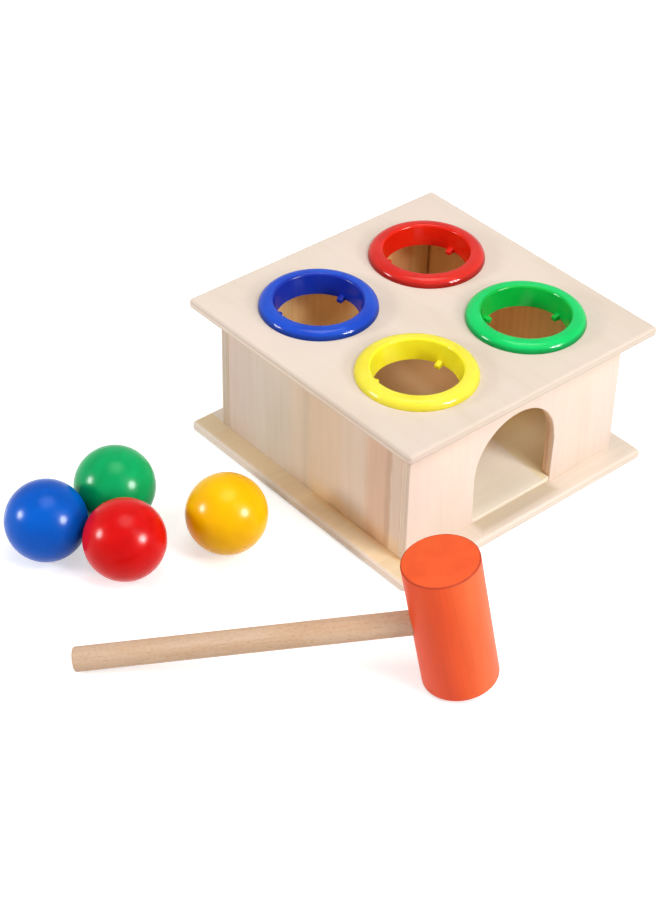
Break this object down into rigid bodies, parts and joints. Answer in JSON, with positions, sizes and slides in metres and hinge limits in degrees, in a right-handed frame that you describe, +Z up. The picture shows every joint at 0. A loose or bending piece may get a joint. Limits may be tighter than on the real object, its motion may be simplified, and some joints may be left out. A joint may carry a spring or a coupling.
{
  "type": "ball pounding bench",
  "caption": "Square plywood box with plastic rings in its top board, a sloping floor and a round-topped doorway, with loose wooden balls and a wooden hammer.",
  "frame": {"origin": "middle of the base board's underside, on the surface that the box stands on", "axes": "+Z up, +Y from the doorway to the back wall, +X to the right for someone facing the doorway"},
  "size_m": [0.3545, 0.2693, 0.0972],
  "materials": {
    "plywood": "bare sanded light plywood",
    "beech": "bare turned beech dowel",
    "ring_red": "glossy moulded plastic",
    "ring_blue": "glossy moulded plastic",
    "ring_green": "glossy moulded plastic",
    "ring_yellow": "glossy moulded plastic",
    "paint_red": "glossy paint on wood",
    "paint_blue": "glossy paint on wood",
    "paint_green": "glossy paint on wood",
    "paint_yellow": "glossy paint on wood",
    "paint_orange": "satin paint on wood"
  },
  "bodies": {
    "bench": {"base_board": "plywood", "top_board": "plywood", "front_wall": "plywood", "back_wall": "plywood", "left_wall": "plywood", "right_wall": "plywood", "ramp": "plywood", "ramp_rest": "plywood", "ring_red": "ring_red", "ring_blue": "ring_blue", "ring_green": "ring_green", "ring_yellow": "ring_yellow"},
    "red_ball": {"ball_red": "paint_red"},
    "blue_ball": {"ball_blue": "paint_blue"},
    "green_ball": {"ball_green": "paint_green"},
    "yellow_ball": {"ball_yellow": "paint_yellow"},
    "hammer": {"hammer_head": "paint_orange", "hammer_handle": "beech"}
  },
  "joints": [
    {"name": "red_ball_lift", "type": "slide", "parent": "bench", "child": "red_ball", "axis": [0, 0, 1], "range_m": [0, 0.12]},
    {"name": "blue_ball_lift", "type": "slide", "parent": "bench", "child": "blue_ball", "axis": [0, 0, 1], "range_m": [0, 0.12]},
    {"name": "green_ball_lift", "type": "slide", "parent": "bench", "child": "green_ball", "axis": [0, 0, 1], "range_m": [0, 0.12]},
    {"name": "yellow_ball_lift", "type": "slide", "parent": "bench", "child": "yellow_ball", "axis": [0, 0, 1], "range_m": [0, 0.12]},
    {"name": "hammer_lift", "type": "slide", "parent": "bench", "child": "hammer", "axis": [0, 0, 1], "range_m": [0, 0.12]}
  ]
}
